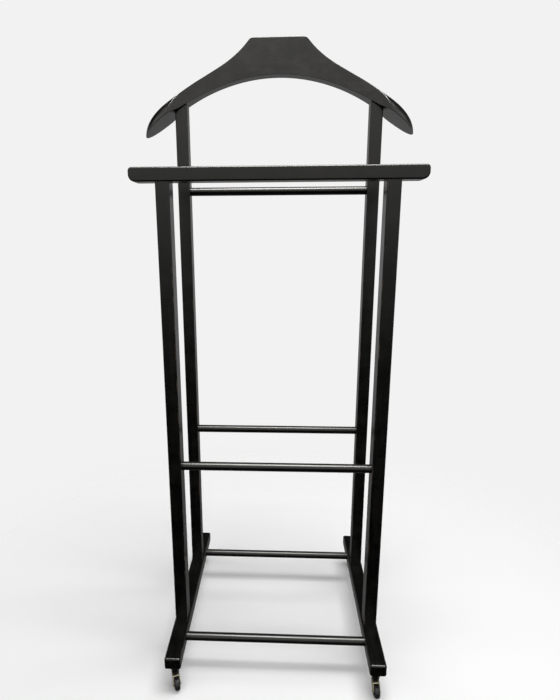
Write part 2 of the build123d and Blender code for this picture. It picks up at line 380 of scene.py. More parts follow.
class Value:
    """A number, colour or vector inside a material, with arithmetic that adds nodes."""

    def __init__(self, graph: "Graph", socket: bpy.types.NodeSocket) -> None:
        """Wraps one output socket of a graph."""
        self.graph = graph
        self.socket = socket

    __add__ = arithmetic("ADD")
    __radd__ = arithmetic("ADD", reflected=True)
    __sub__ = arithmetic("SUBTRACT")
    __rsub__ = arithmetic("SUBTRACT", reflected=True)
    __mul__ = arithmetic("MULTIPLY")
    __rmul__ = arithmetic("MULTIPLY", reflected=True)
    largest = arithmetic("MAXIMUM")

    def __abs__(self) -> "Value":
        """The size of the number without its sign."""
        return self.graph.node("ShaderNodeMath", {"operation": "ABSOLUTE"}, {0: self})

    def ramp(self, low: float, high: float) -> "Value":
        """A smooth step: 0 where the number is at low, 1 where it is at high."""
        step = {"Value": self, "From Min": low, "From Max": high}
        return self.graph.node("ShaderNodeMapRange", {"interpolation_type": "SMOOTHSTEP", "clamp": True}, step)


Number = Value | float


class Graph:
    """The node tree of a material or of the world."""

    def __init__(self, tree: bpy.types.NodeTree) -> None:
        """Takes an empty tree.

        Args:
            tree: The node tree, cleared of its nodes.
        """
        tree.nodes.clear()
        self.tree = tree

    def node(
        self,
        kind: str,
        settings: Mapping[str, object] | None = None,
        inputs: Mapping[int | str, object] | None = None,
        output: int | str = 0,
    ) -> Value:
        """Makes any node.

        Args:
            kind: The node's type.
            settings: The node's own settings, set before its sockets.
            inputs: Values or links, by socket name or number.
            output: The output that is handed back.

        Returns:
            The chosen output.
        """
        made = self.tree.nodes.new(kind)
        for key, value in (settings or {}).items():
            setattr(made, key, value)
        for key, value in (inputs or {}).items():
            if isinstance(value, Value):
                self.tree.links.new(value.socket, made.inputs[key])
            else:
                made.inputs[key].default_value = value
        return Value(self, made.outputs[output] if made.outputs else None)

    def position(self) -> Value:
        """The place on the object, in metres."""
        return self.node("ShaderNodeTexCoord", output="Object")

    def split(self, vector: Value) -> list[Value]:
        """The three numbers of a vector."""
        first = self.node("ShaderNodeSeparateXYZ", None, {0: vector})
        return [Value(self, out) for out in first.socket.node.outputs]

    def noise(self, grains: Vector | float, detail: float = 3.0, roughness: float = 0.55,
              distortion: float = 0.0, shift: float = 0.0) -> Value:
        """A fractal noise around 0.5 whose grains may have their own size along each axis.

        Args:
            grains: Grains per metre along X, Y and Z, or one number for all three.
            detail: Number of finer layers.
            roughness: Strength of the finer layers.
            distortion: How far the grains swirl.
            shift: Moves the pattern, so that two layers differ.

        Returns:
            The noise's value.
        """
        scale = (grains,) * 3 if isinstance(grains, float) else grains
        place = self.node(
            "ShaderNodeMapping", {"vector_type": "POINT"},
            {"Vector": self.position(), "Location": (shift,) * 3, "Scale": scale})
        return self.node(
            "ShaderNodeTexNoise", {"noise_dimensions": "3D"},
            {"Vector": place, "Scale": 1.0, "Detail": detail, "Roughness": roughness,
             "Distortion": distortion})

    def blend(self, share: Number, first: Value | Colour, second: Value | Colour) -> Value:
        """Mixes two colours.

        Args:
            share: The share of the second colour, 0 to 1.
            first: One colour.
            second: The other.

        Returns:
            The mixed colour.
        """
        ends = [(*colour, 1.0) if isinstance(colour, tuple) else colour for colour in (first, second)]
        factor, first_colour, second_colour, result = 0, 6, 7, 2
        return self.node(
            "ShaderNodeMix", {"data_type": "RGBA"},
            {factor: share, first_colour: ends[0], second_colour: ends[1]}, result)

    def bump(self, height: Value, strength: float, distance: float) -> Value:
        """The surface normal, disturbed by a height.

        Args:
            height: The height, about 0 to 1.
            strength: How much of the disturbance shows.
            distance: The height that 1 stands for, in metres.

        Returns:
            The new normal.
        """
        return self.node(
            "ShaderNodeBump", None, {"Strength": strength, "Distance": distance, "Height": height})

    def surface(self, **sockets: object) -> None:
        """Closes the graph with a Principled surface.

        Args:
            sockets: Socket values by name, with spaces as underscores.
        """
        shader = self.node(
            "ShaderNodeBsdfPrincipled", None, {key.replace("_", " "): v for key, v in sockets.items()})
        self.node("ShaderNodeOutputMaterial", None, {"Surface": shader})


@dataclass(frozen=True)
class SquareEdges:
    """Where the long edges of a squared bar lie, for the wear along them.

    Posts and skids stand in mirrored pairs, so X is taken without its sign.

    Args:
        across: The two axes across the bar.
        middle: The bar's middle along each of them.
        half: Half the bar's section along each of them.
    """

    across: tuple[Axis, Axis]
    middle: tuple[float, float]
    half: tuple[float, float]

    @classmethod
    def of_node(cls, node: str, *across: Axis) -> "SquareEdges":
        """Reads the edges from a CAD node.

        Args:
            node: The CAD node.
            across: The two axes across the bar.

        Returns:
            Where the edges lie.
        """
        low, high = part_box(node)
        middle = [(low[axis.value] + high[axis.value]) / 2 for axis in across]
        half = tuple((high[axis.value] - low[axis.value]) / 2 for axis in across)
        return cls(across, tuple(abs(m) if axis is Axis.X else m for axis, m in zip(across, middle)), half)

    def distance(self, graph: Graph) -> Value:
        """Distance over the surface to the nearest long edge.

        Args:
            graph: The material's graph.

        Returns:
            The distance, in metres.
        """
        place = graph.split(graph.position())
        gaps = []
        for axis, middle, half in zip(self.across, self.middle, self.half):
            along = abs(place[axis.value]) if axis is Axis.X else place[axis.value]
            gaps.append(half - abs(along - middle))
        return gaps[0].largest(gaps[1])


@dataclass(frozen=True)
class Finish(ABC):
    """A finish that is laid out in the graph of a new material.

    Args:
        name: The material's name.
    """

    name: str

    def make(self) -> bpy.types.Material:
        """Builds the material.

        Returns:
            The material.
        """
        material = bpy.data.materials.new(self.name)
        material.use_nodes = True
        self.lay_out(Graph(material.node_tree))
        return material

    @abstractmethod
    def lay_out(self, graph: Graph) -> None:
        """Adds the finish's nodes to a graph."""


@dataclass(frozen=True)
class Lacquer(Finish):
    """Black lacquer over beech: a satin film that follows the wood's fine grain.

    Args:
        grain: The axis that the grain runs along.
        edges: Where the bar's long edges are, if they are rubbed.
        rubbed: How much wood shows through along those edges, 0 to 1.
        gloss: Roughness of the film in its smoothest places.
        dust: How much fine dust lies on the film, 0 to 1.
        relief: How strongly the grain and the film's orange peel show.
        film: Colour of the film.
        thin_film: Colour where the film is thin and the wood warms it.
        bare: Colour of the rubbed wood.
        powder: Colour of the dust.
        mirrored: Tint of what the film mirrors.
        rim: Nearest and furthest distance from an edge over which the rubbing fades out.
        peel_height: Height of the grain's and the orange peel's relief, in metres.
    """

    grain: Axis
    edges: SquareEdges | None = None
    rubbed: float = 0.5
    gloss: float = 0.17
    dust: float = 0.0
    relief: float = 0.30
    film: Colour = (0.0010, 0.0011, 0.0010)
    thin_film: Colour = (0.0036, 0.0035, 0.0029)
    bare: Colour = (0.110, 0.068, 0.042)
    powder: Colour = (0.050, 0.048, 0.043)
    mirrored: Colour = (1.0, 0.985, 0.94)
    rim: tuple[float, float] = (0.1 * MM, 2.4 * MM)
    peel_height: float = 0.12 * MM

    def lay_out(self, graph: Graph) -> None:
        """Adds the film, then the rubbed edges and the dust where there are any.

        Args:
            graph: The material's graph.
        """
        grained = self.grain.stretched
        fibre = graph.noise(grained(1500.0, 45.0), detail=4.0, roughness=0.62)
        figure = graph.noise(grained(75.0, 6.0), detail=3.0, distortion=0.6, shift=3.1)
        pores = graph.noise(grained(2600.0, 150.0), detail=1.0, shift=7.7).ramp(0.30, 0.42)
        clouds = graph.noise(28.0, detail=3.0, shift=1.9)
        peel = graph.noise(420.0, detail=1.0, shift=5.3)
        thin = (figure * 0.55 + clouds * 0.45).ramp(0.42, 0.66)
        colour = graph.blend(thin, self.film, self.thin_film)
        roughness = self.gloss + clouds * 0.12 + fibre * 0.07 + thin * 0.04
        if self.edges is not None:
            near_edge = 1.0 - self.edges.distance(graph).ramp(*self.rim)
            patches = graph.noise(grained(180.0, 32.0), detail=4.0, shift=11.0).ramp(0.50, 0.66)
            wear = near_edge * patches * self.rubbed
            colour = graph.blend(wear, colour, self.bare)
            roughness = roughness + wear * 0.30
        if self.dust > 0:
            specks = graph.noise(grained(120.0, 55.0), detail=5.0, roughness=0.7, shift=14.0)
            dusty = (specks * 0.6 + clouds * 0.4).ramp(0.40, 0.62) * self.dust
            colour = graph.blend(dusty, colour, self.powder)
            roughness = roughness + dusty * 0.15
        height = fibre * 0.45 + pores * 0.35 + peel * 0.30
        graph.surface(
            Base_Color=colour, Roughness=roughness, IOR=1.5, Specular_Tint=(*self.mirrored, 1.0),
            Normal=graph.bump(height, self.relief, self.peel_height))


@dataclass(frozen=True)
class MouldedPlastic(Finish):
    """Hard black plastic of a small wheel, scuffed and dusty on its tread.

    Args:
        shade: Colour of the clean plastic.
        dust: Colour of the dust in the scuffs.
        dusty_to: Height above the floor up to which dust gathers.
    """

    shade: Colour = (0.010, 0.010, 0.011)
    dust: Colour = (0.075, 0.070, 0.062)
    dusty_to: float = 10 * MM

    def lay_out(self, graph: Graph) -> None:
        """Adds the scuffs and the dust.

        Args:
            graph: The material's graph.
        """
        grit = graph.noise(2400.0, detail=3.0, roughness=0.65)
        smear = graph.noise(260.0, detail=4.0, distortion=0.8, shift=4.0)
        low = 1.0 - graph.split(graph.position())[Axis.Z.value].ramp(0.0, self.dusty_to)
        dusty = smear.ramp(0.46, 0.74) * (0.12 + low * 0.35)
        graph.surface(
            Base_Color=graph.blend(dusty, self.shade, self.dust),
            Roughness=0.30 + smear * 0.16 + dusty * 0.30,
            IOR=1.48,
            Normal=graph.bump(grit * 0.6 + smear * 0.4, 0.35, 0.10 * MM))


@dataclass(frozen=True)
class PlatedMetal(Finish):
    """Plated sheet or drawn metal, dulled in clouds and finely scratched.

    Args:
        bright: Colour of the clean plating.
        dull: Colour of the tarnish.
        roughness: Roughness of the clean plating.
        tarnish: How much of the surface is dulled, 0 to 1.
        draw: The axis that the fine scratches run along.
    """

    bright: Colour
    dull: Colour
    roughness: float
    tarnish: float
    draw: Axis = Axis.Z

    def lay_out(self, graph: Graph) -> None:
        """Adds the scratches, the tarnish and the pits.

        Args:
            graph: The material's graph.
        """
        lines = graph.noise(self.draw.stretched(3200.0, 60.0), detail=3.0, roughness=0.7)
        clouds = graph.noise(340.0, detail=4.0, distortion=0.7, shift=2.0)
        pits = graph.noise(1900.0, detail=2.0, shift=9.0).ramp(0.60, 0.72)
        dulled = clouds.ramp(0.62 - 0.3 * self.tarnish, 0.86 - 0.2 * self.tarnish)
        graph.surface(
            Base_Color=graph.blend(dulled, self.bright, self.dull),
            Metallic=1.0 - dulled * 0.35 - pits * 0.20,
            Roughness=self.roughness + lines * 0.12 + dulled * 0.28 + pits * 0.10,
            Normal=graph.bump(lines * 0.7 - pits * 0.3, 0.25, 0.06 * MM))


@dataclass(frozen=True)
class BareBeech(Finish):
    """Unfinished beech of the dowels: pale wood with darker flecks along the grain.

    Args:
        grain: The axis that the grain runs along.
        pale: Colour of the wood.
        fleck: Colour of its rays.
    """

    grain: Axis = Axis.Z
    pale: Colour = (0.56, 0.37, 0.21)
    fleck: Colour = (0.36, 0.20, 0.10)

    def lay_out(self, graph: Graph) -> None:
        """Adds the fibre and the rays.

        Args:
            graph: The material's graph.
        """
        fibre = graph.noise(self.grain.stretched(1800.0, 90.0), detail=4.0, roughness=0.6)
        rays = graph.noise(self.grain.stretched(900.0, 360.0), detail=1.0, shift=6.0)
        graph.surface(
            Base_Color=graph.blend((fibre * 0.5 + rays * 0.5).ramp(0.42, 0.64), self.pale, self.fleck),
            Roughness=0.55 + fibre * 0.20,
            Normal=graph.bump(fibre, 0.35, 0.12 * MM))


@dataclass(frozen=True)
class StudioPaper(Finish):
    """The pale floor: matt paper that fades out into the background at its rim.

    Args:
        shade: Brightness of the paper.
        solid: Radius within which the paper is solid, in metres.
        gone: Radius at which it has faded out.
    """

    shade: float
    solid: float
    gone: float

    def lay_out(self, graph: Graph) -> None:
        """Adds the paper and its fading rim.

        Args:
            graph: The material's graph.
        """
        x, y, _ = graph.split(graph.position())
        reach = graph.node("ShaderNodeMath", {"operation": "SQRT"}, {0: x * x + y * y})
        tooth = graph.noise(900.0, detail=2.0)
        tone = graph.noise(3.0, detail=2.0, shift=2.0)
        pale, deep = ((self.shade * k,) * 3 for k in (1.01, 0.99))
        paper = graph.node("ShaderNodeBsdfPrincipled", None, {
            "Base Color": graph.blend(tone, pale, deep),
            "Roughness": 0.85 + tooth * 0.10,
            "Specular IOR Level": 0.0,
            "Normal": graph.bump(tooth, 0.10, 0.1 * MM)})
        clear = graph.node("ShaderNodeBsdfTransparent")
        fade = reach.ramp(self.solid, self.gone)
        made = graph.node("ShaderNodeMixShader", None, {0: fade, 1: paper, 2: clear})
        graph.node("ShaderNodeOutputMaterial", None, {"Surface": made})


def dress(obj: bpy.types.Object, material: bpy.types.Material) -> None:
    """Gives an object one material over its whole surface.

    Args:
        obj: A new piece or a CAD node.
        material: Its finish.
    """
    if not obj.data.materials:
        obj.data.materials.append(None)
    for slot in obj.material_slots:
        slot.link = "OBJECT"
        slot.material = material


# ------------------------------------------------------------------------------ the hanger


@dataclass
class Hanger:
    """The carved coat hanger: a board in the middle, domed leaves with flat soles at its ends.

    Args:
        finish: The lacquer.
        top_half: Half the width of the flat top.
        slim_half: Half the board's thickness in the middle.
        neck_half: Half its thickness where it meets the rear posts.
        slim_to: The board keeps its middle thickness out to here.
        neck_at: From here it swells into the leaf.
        leaf_at: Where the leaf is widest.
        dome_from: Where the dome starts to cut into the board's front.
        dome_full: Where the dome is fully formed.
        top_corner: Reach of the rounding at both ends of the flat top.
        rim: Rounding of the sole's rim.
        crest: Rounding of the edge between the front face and the top or dome.
        neck_slope: Fall of the shoulder line beside the flat top.
        arm_slope: Fall of the straight arm.
        arm_end: Where the arm's line starts to round off towards the tip.
        arm_start_z: Height of the line where the straight arm starts.
        arch: Height of the underside in the middle.
        dome_start: Least angle above the sole at which the dome's arc starts.
        swell: Power of the cosine by which the leaf widens. A higher one starts later.
        bluntness: Power of the curve that closes the tip. An ellipse has 2.
        sharp_tip: Length of the tip whose rim is too thin to round.
        margin: How far before the neck the closer sections start, and before the leaf's
            widest place the crest's rounding stops.
        sole_points: Steps across half the sole.
        wall_points: Steps up the front face.
        dome_points: Steps over the top or dome.
        tip_steps: Sections from the leaf's widest place to the tip.
    """

    finish: bpy.types.Material
    top_half: float = 49 * MM
    slim_half: float = 11.5 * MM
    neck_half: float = 17.8 * MM
    slim_to: float = 105 * MM
    neck_at: float = 178 * MM
    leaf_at: float = 202 * MM
    dome_from: float = 140 * MM
    dome_full: float = 190 * MM
    top_corner: float = 4.5 * MM
    rim: float = 1.3 * MM
    crest: float = 2.2 * MM
    neck_slope: float = 1.3
    arm_slope: float = 0.556
    arm_end: float = 177 * MM
    arm_start_z: float = 1067 * MM
    arch: float = 1054 * MM
    dome_start: float = math.radians(6.0)
    swell: float = 1.2
    bluntness: float = 2.2
    sharp_tip: float = 3 * MM
    margin: float = 8 * MM
    sole_points: int = 4
    wall_points: int = 3
    dome_points: int = 12
    tip_steps: int = 18

    def __post_init__(self) -> None:
        """Reads the overall size and place from the CAD node."""
        low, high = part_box("hanger")
        self.middle_y = (low.y + high.y) / 2
        self.leaf_half = (high.y - low.y) / 2
        self.half = high.x
        self.top = high.z
        self.tip_z = low.z

    @staticmethod
    def on_curve(x: float, start: Vector, corner: Vector, end: Vector) -> float:
        """Height, at a distance x, of a curve that leaves start and reaches end towards a corner.

        Args:
            x: Distance from the middle.
            start: First point, as (distance, height).
            corner: Where the tangents of both ends meet.
            end: Last point.

        Returns:
            The height at x.
        """
        a = start.x - 2 * corner.x + end.x
        b = 2 * (corner.x - start.x)
        c = start.x - x
        straight = 1e-9
        if abs(a) < straight:
            t = -c / b
        else:
            t = (-b + math.sqrt(max(b * b - 4 * a * c, 0.0))) / (2 * a)
        t = min(max(t, 0.0), 1.0)
        return (1 - t) ** 2 * start.y + 2 * t * (1 - t) * corner.y + t * t * end.y

    def sole(self, x: float) -> float:
        """Height of the arched underside."""
        return self.arch - (self.arch - self.tip_z) * (x / self.half) ** 2

    def crown(self, x: float) -> float:
        """The shoulder line, with the corners of the flat top rounded.

        Args:
            x: Distance from the middle.

        Returns:
            The height at x.
        """
        if abs(x - self.top_half) >= self.top_corner:
            return self.shoulder_line(x)
        start = Vector((self.top_half - self.top_corner, self.top))
        end_x = self.top_half + self.top_corner
        end = Vector((end_x, self.shoulder_line(end_x)))
        return self.on_curve(x, start, Vector((self.top_half, self.top)), end)

    def shoulder_line(self, x: float) -> float:
        """The shoulder line: flat top, hollow neck, straight arm, rounded tip.

        Args:
            x: Distance from the middle.

        Returns:
            The height at x.
        """
        if x <= self.top_half:
            return self.top
        arm_start = Vector((self.slim_to, self.arm_start_z))
        arm_end = Vector((self.arm_end, self.arm_start_z - self.arm_slope * (self.arm_end - self.slim_to)))
        if x < arm_start.x:
            rise = arm_start.y + self.arm_slope * arm_start.x - self.top - self.neck_slope * self.top_half
            corner_x = rise / (self.arm_slope - self.neck_slope)
            corner = Vector((corner_x, self.top - self.neck_slope * (corner_x - self.top_half)))
            return self.on_curve(x, Vector((self.top_half, self.top)), corner, arm_start)
        if x < arm_end.x:
            return arm_start.y - self.arm_slope * (x - arm_start.x)
        corner = Vector((self.half, arm_end.y - self.arm_slope * (self.half - arm_end.x)))
        return self.on_curve(x, arm_end, corner, Vector((self.half, self.tip_z)))

    def width(self, x: float) -> float:
        """The board's and the leaf's half thickness from front to back, at the sole.

        Args:
            x: Distance from the middle.

        Returns:
            Half the thickness at x.
        """
        if x <= self.slim_to:
            return self.slim_half
        if x <= self.neck_at:
            share = (x - self.slim_to) / (self.neck_at - self.slim_to)
            return self.slim_half + (self.neck_half - self.slim_half) * share ** 2
        if x <= self.leaf_at:
            share = (self.leaf_at - x) / (self.leaf_at - self.neck_at)
            widened = math.cos(share * math.pi / 2) ** self.swell
            return self.neck_half + (self.leaf_half - self.neck_half) * widened
        share = (x - self.leaf_at) / (self.half - self.leaf_at)
        return self.leaf_half * math.sqrt(max(1 - share ** self.bluntness, 0.0))

    def doming(self, x: float) -> float:
        """0 where the board's top is flat, 1 where it is a full dome."""
        share = min(max((x - self.dome_from) / (self.dome_full - self.dome_from), 0.0), 1.0)
        return share * share * (3 - 2 * share)

    def section(self, x: float) -> list[Vector]:
        """The front half of the section at a distance x from the middle.

        Args:
            x: Distance from the middle, along the board.

        Returns:
            Points from the middle of the sole, round the front, to the middle of the top.
        """
        sole, crown, width = self.sole(x), self.crown(x), self.width(x)
        rise = max(crown - sole, 0.0)
        reach = self.leaf_half if x < self.leaf_at else width
        start = math.acos(min(width / max(reach, NEAR), 1.0)) if reach > 0 else 0.0
        start = max(start, self.dome_start)
        doming = self.doming(x)
        crease = crown * (1 - doming) + (sole + rise * math.sin(start)) * doming
        points = [Vector((x, -width * i / self.sole_points, sole)) for i in range(self.sole_points + 1)]
        for i in range(1, self.wall_points + 1):
            points.append(Vector((x, -width, sole + (crease - sole) * i / self.wall_points)))
        reach = width / math.cos(start)
        for i in range(1, self.dome_points + 1):
            share = i / self.dome_points
            angle = start + (math.pi / 2 - start) * share
            flat = Vector((x, -width * (1 - share), crown))
            dome = Vector((x, -reach * math.cos(angle), sole + rise * math.sin(angle)))
            points.append(flat.lerp(dome, doming))
        return points

    def stations(self) -> list[float]:
        """Where sections are taken, closer together where the form turns.

        Returns:
            Their distances from the middle.
        """
        corner_start, corner_end = self.top_half - self.top_corner, self.top_half + self.top_corner
        swelling = self.neck_at - self.margin
        spans = ((0.0, corner_start, 4), (corner_start, corner_end, 7),
                 (corner_end, self.slim_to, 12), (self.slim_to, self.dome_from, 8),
                 (self.dome_from, swelling, 8), (swelling, self.leaf_at, 20))
        marks = [a + (b - a) * i / n for a, b, n in spans for i in range(n)]
        reach = self.half - self.leaf_at
        quarter_turns = [math.pi / 2 * i / self.tip_steps for i in range(self.tip_steps + 1)]
        return marks + [self.leaf_at + reach * math.sin(turn) for turn in quarter_turns]

    def lay(self, name: str) -> Workpiece:
        """Lays a grid over the front right quarter of the form.

        Args:
            name: The piece's name.

        Returns:
            The open quarter, with its middle planes on X = 0 and Y = 0.
        """
        sections = [self.section(x) for x in self.stations()]
        rows = len(sections[0])
        piece = Workpiece.sheet(name, len(sections), rows)
        bpy.ops.mesh.select_mode(type=Part.POINT.value)
        for column, section in enumerate(sections):
            for row, target in enumerate(section):
                here = piece.pick_point(row * len(sections) + column)
                piece.move(target - here)
        return piece

    def build(self) -> bpy.types.Object:
        """Models the hanger and sets it on the rear posts.

        Returns:
            The hanger.
        """
        piece = self.lay("carved_hanger")
        piece.modify("MIRROR", use_axis=(True, True, False), use_mirror_merge=True,
                     merge_threshold=NEAR, use_clip=True)
        piece.merge(MERGE)
        piece.pick_all()
        bpy.ops.mesh.normals_make_consistent(inside=False)
        piece.pick(Part.EDGE, self.on_sole_rim)
        piece.bevel(self.rim, segments=3)
        piece.pick(Part.EDGE, self.on_crest)
        piece.bevel(self.crest, segments=4)
        piece.pick_all()
        piece.move(Vector((0, self.middle_y, 0)))
        made = piece.finish(smooth_angle=38.0, flat_faces=True)
        dress(made, self.finish)
        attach(made, "frame")
        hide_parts("hanger")
        return made

    def on_sole_rim(self, middle: Vector, along: Vector) -> bool:
        """Whether an edge lies on the rim of the sole, away from the thin tip.

        Args:
            middle: The edge's middle.
            along: Its direction.

        Returns:
            True on the rim.
        """
        x = abs(middle.x)
        if x > self.half - self.sharp_tip:
            return False
        on_rim = abs(abs(middle.y) - self.width(x)) < 0.5 * MM
        on_sole = abs(middle.z - self.sole(x)) < 0.3 * MM
        return on_rim and on_sole and abs(along.y) < 0.97

    def on_crest(self, middle: Vector, along: Vector) -> bool:
        """Whether an edge lies where the front or back face ends and the top or dome begins.

        Args:
            middle: The edge's middle.
            along: Its direction.

        Returns:
            True on the crest.
        """
        x = abs(middle.x)
        if x > self.leaf_at - self.margin:
            return False
        crease = self.section(x)[self.sole_points + self.wall_points]
        off_face, off_top = abs(abs(middle.y) + crease.y), abs(middle.z - crease.z)
        return max(off_face, off_top) < 0.35 * MM and abs(along.x) > 0.3


# ------------------------------------------------------------------------------ the bar


@dataclass
class TrouserBar:
    """The bar across the front posts, with rounded ends and softened edges.

    Args:
        finish: The lacquer.
        top_corner: Rounding of the ends' upper corners, seen from the front.
        bottom_corner: Rounding of their lower corners.
        edge: Rounding of the long edges and of the ends' rims.
    """

    finish: bpy.types.Material
    top_corner: float = 6 * MM
    bottom_corner: float = 10.5 * MM
    edge: float = 2.6 * MM

    def build(self) -> bpy.types.Object:
        """Models the bar and sets it on the front posts.

        Returns:
            The bar.
        """
        low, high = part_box("trouser_bar")
        piece = Workpiece.block("rounded_trouser_bar", low, high)
        for height, radius, segments in ((high.z, self.top_corner, 8), (low.z, self.bottom_corner, 10)):
            piece.pick(Part.EDGE, lambda m, d, z=height: abs(d.y) > 0.9 and abs(m.z - z) < NEAR)
            piece.bevel(radius, segments)
        middle, half = (low.y + high.y) / 2, (high.y - low.y) / 2
        piece.pick(Part.EDGE, lambda m, d: abs(d.y) < 0.1 and abs(abs(m.y - middle) - half) < NEAR)
        piece.bevel(self.edge, segments=5)
        made = piece.finish(flat_faces=True)
        dress(made, self.finish)
        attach(made, "frame")
        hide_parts("trouser_bar")
        return made


# ------------------------------------------------------------------------------ casters


@dataclass(frozen=True)
class Corner:
    """One corner of the stand, with the caster's stem and the way that it trails at rest.

    Args:
        name: The corner's name, as in the nodes and joints.
        stem: The foot of the stem's axis on the floor.
        heading: The angle from +X to the side that the wheel trails to.
    """

    name: str
    stem: Vector
    heading: float

    @property
    def place(self) -> Matrix:
        """Takes a caster from the bench, where it trails towards +X, to its corner."""
        return Matrix.Translation(self.stem) @ Matrix.Rotation(self.heading, 4, "Z")

    @classmethod
    def from_joints(cls) -> list["Corner"]:
        """The four corners, worked out from the swivel and roll joints.

        Returns:
            The corners, in the order of the joints.
        """
        joints = {joint["name"]: joint for joint in frame["joints"]}
        found = []
        for name, joint in joints.items():
            if name.startswith("swivel_"):
                corner = name.removeprefix("swivel_")
                stem, axle = Vector(joint["pos_m"]), Vector(joints[f"roll_{corner}"]["pos_m"])
                heading = math.atan2(axle.y - stem.y, axle.x - stem.x)
                found.append(cls(corner, Vector((stem.x, stem.y, 0)), heading))
        return found


@dataclass
class Casters:
    """The four casters: turned hood, folded brass fork, riveted axle and moulded wheel.

    Each piece is modelled once, trailing towards +X under a stem at the origin, and copied.

    Args:
        wood: Finish of the hood.
        brass: Finish of the fork and axle.
        plastic: Finish of the wheel.
        trail: Distance from the stem's axis to the axle.
        wheel_radius: Radius of the wheel, which is also its axle's height.
        wheel_width: Width of the wheel.
        hub_radius: Radius of the raised hub.
        bore: Radius of the wheel's bore.
        dish: Depth of the wheel's dished faces.
        arm_gap: Distance between the insides of the fork's arms.
        sheet: Thickness of the fork's sheet.
        hood_low: Radius of the hood at its lower end.
        hood_high: Radius of the hood under the skid.
        hood_bottom: Height of its lower end.
        hood_top: Height of the skid's underside.
        sleeve: Radius of the hood's hole, round the steel sleeve.
        bead: Height of the bead under the skid.
        groove: Depth of the two fine grooves in the tread.
        shoulder: Rounding between the tread and the wheel's faces.
        rim: Width of the flat rim round a dished face, with its rounding.
        ribs: Number of moulded ribs on a face.
        rib_rise: How far the ribs stand up from the dish.
        pin: Radius of the axle.
        head: Radius of its riveted heads.
        head_rise: Height of the heads.
        fold: Rounding of the fork's two folds.
        sheet_edge: Rounding of the sheet's cut edges.
        sides: Number of points round a turned piece.
    """

    wood: bpy.types.Material
    brass: bpy.types.Material
    plastic: bpy.types.Material
    trail: float = 9 * MM
    wheel_radius: float = 11.5 * MM
    wheel_width: float = 9 * MM
    hub_radius: float = 4.5 * MM
    bore: float = 1.65 * MM
    dish: float = 1.5 * MM
    arm_gap: float = 10 * MM
    sheet: float = 1.2 * MM
    hood_low: float = 6 * MM
    hood_high: float = 10.5 * MM
    hood_bottom: float = 26.5 * MM
    hood_top: float = 51 * MM
    sleeve: float = 4.25 * MM
    bead: float = 3 * MM
    groove: float = 0.3 * MM
    shoulder: float = 2.8 * MM
    rim: float = 3.5 * MM
    ribs: int = 8
    rib_rise: float = 0.75 * MM
    pin: float = 1.6 * MM
    head: float = 2.6 * MM
    head_rise: float = 1.1 * MM
    fold: float = 1.1 * MM
    sheet_edge: float = 0.28 * MM
    sides: int = 64

    def axle_place(self) -> Matrix:
        """Takes a piece turned about Z to the axle, which runs along Y on the bench."""
        lift = Matrix.Translation((self.trail, 0, self.wheel_radius))
        return lift @ Matrix.Rotation(math.radians(90), 4, "X")

    def hood(self) -> bpy.types.Object:
        """The turned hood: a hollow taper with a bead under the skid.

        Returns:
            The model, under a stem at the origin.
        """
        low, high, foot, head, bead = (
            self.hood_low, self.hood_high, self.hood_bottom, self.hood_top, self.bead)
        profile = [
            (self.sleeve, foot), (low - 1.0 * MM, foot), (low - 0.3 * MM, foot + 0.3 * MM),
            (low + 0.1 * MM, foot + 1.0 * MM)]
        for share in (0.12, 0.27, 0.42, 0.57, 0.72, 0.84):
            taper = low + (high - low) * share
            hollow = 0.35 * MM * math.sin(math.pi * share)
            profile.append((taper - hollow, foot + (head - foot) * share))
        profile += [
            (high - 1.05 * MM, head - bead - 0.2 * MM), (high - 1.05 * MM, head - bead),
            (high - 0.35 * MM, head - bead + 0.3 * MM), (high, head - bead + 1.0 * MM),
            (high, head - 0.7 * MM), (high - 0.4 * MM, head), (self.sleeve, head), (self.sleeve, foot)]
        return Workpiece.turned("hood_model", profile, self.sides).finish(smooth_angle=50.0)

    def wheel(self) -> bpy.types.Object:
        """The wheel: crowned tread with two fine grooves, ribbed dished faces, raised hub.

        Returns:
            The model, on its axle.
        """
        half, tread, hub, groove = self.wheel_width / 2, self.wheel_radius, self.hub_radius, self.groove
        rim, dish, shoulder, steps = self.rim, self.dish, self.shoulder, 6
        face = [
            (self.bore, half), (hub - 0.4 * MM, half), (hub, half - 0.4 * MM),
            (hub + 0.2 * MM, half - dish + 0.3 * MM), (hub + 0.6 * MM, half - dish),
            (tread - rim - 0.5 * MM, half - dish), (tread - rim - 0.1 * MM, half - dish + 0.4 * MM),
            (tread - rim + 0.15 * MM, half - 0.25 * MM), (tread - rim + 0.4 * MM, half)]
        for step in range(steps + 1):
            turn = math.pi / 2 * step / steps
            face.append((tread - shoulder * (1 - math.sin(turn)), half - shoulder * (1 - math.cos(turn))))
        face += [(tread, 1.45 * MM), (tread - groove, 1.25 * MM), (tread - groove, 0.95 * MM),
                 (tread, 0.75 * MM)]
        lower = [(radius, -height) for radius, height in face]
        piece = Workpiece.turned("wheel_model", [*lower, *reversed(face), lower[0]], self.sides)
        piece.pick(Part.FACE, self.on_rib)
        bpy.ops.mesh.extrude_region_shrink_fatten(TRANSFORM_OT_shrink_fatten={"value": self.rib_rise})
        made = piece.finish(smooth_angle=40.0)
        made.data.transform(self.axle_place())
        return made

    def on_rib(self, middle: Vector, normal: Vector) -> bool:
        """Whether a face of the dished ring belongs to one of the moulded ribs.

        Args:
            middle: The face's middle.
            normal: Its normal.

        Returns:
            True within a rib.
        """
        inner, outer = self.hub_radius + 0.6 * MM, self.wheel_radius - self.rim - 0.5 * MM
        if not inner < math.hypot(middle.x, middle.y) < outer or abs(normal.z) < 0.9:
            return False
        turn = math.atan2(middle.y, middle.x) / (2 * math.pi) * self.ribs
        half_rib = 0.7 * self.ribs / self.sides
        return abs(turn - round(turn)) < half_rib

